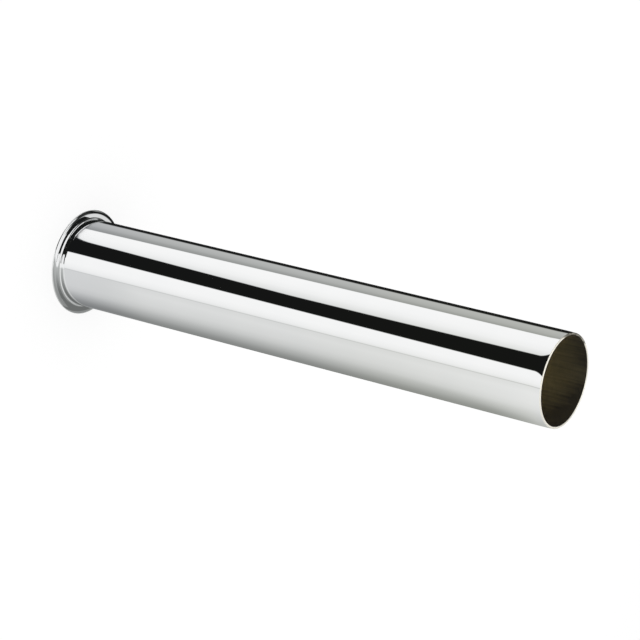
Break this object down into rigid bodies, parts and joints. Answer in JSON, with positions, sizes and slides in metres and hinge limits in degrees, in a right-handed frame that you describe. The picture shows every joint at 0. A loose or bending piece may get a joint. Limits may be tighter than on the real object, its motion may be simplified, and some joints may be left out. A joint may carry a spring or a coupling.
{
  "type": "basin waste tail pipe",
  "caption": "Straight chromed tube with a flange turned out at one end and a plain cut end, which carries water from a basin waste down into the trap.",
  "frame": {"origin": "centre of the flange's flat sealing face, on which the pipe stands", "axes": "+Z along the pipe's axis, from the flange to the plain cut end; X and Y are free, because the pipe is round"},
  "size_m": [0.0386, 0.0386, 0.2],
  "materials": {
    "chromed_brass": "polished chrome outside, bare drawn brass in the bore and on the cut edge"
  },
  "bodies": {
    "root": {"tail_pipe": "chromed_brass"}
  },
  "joints": []
}
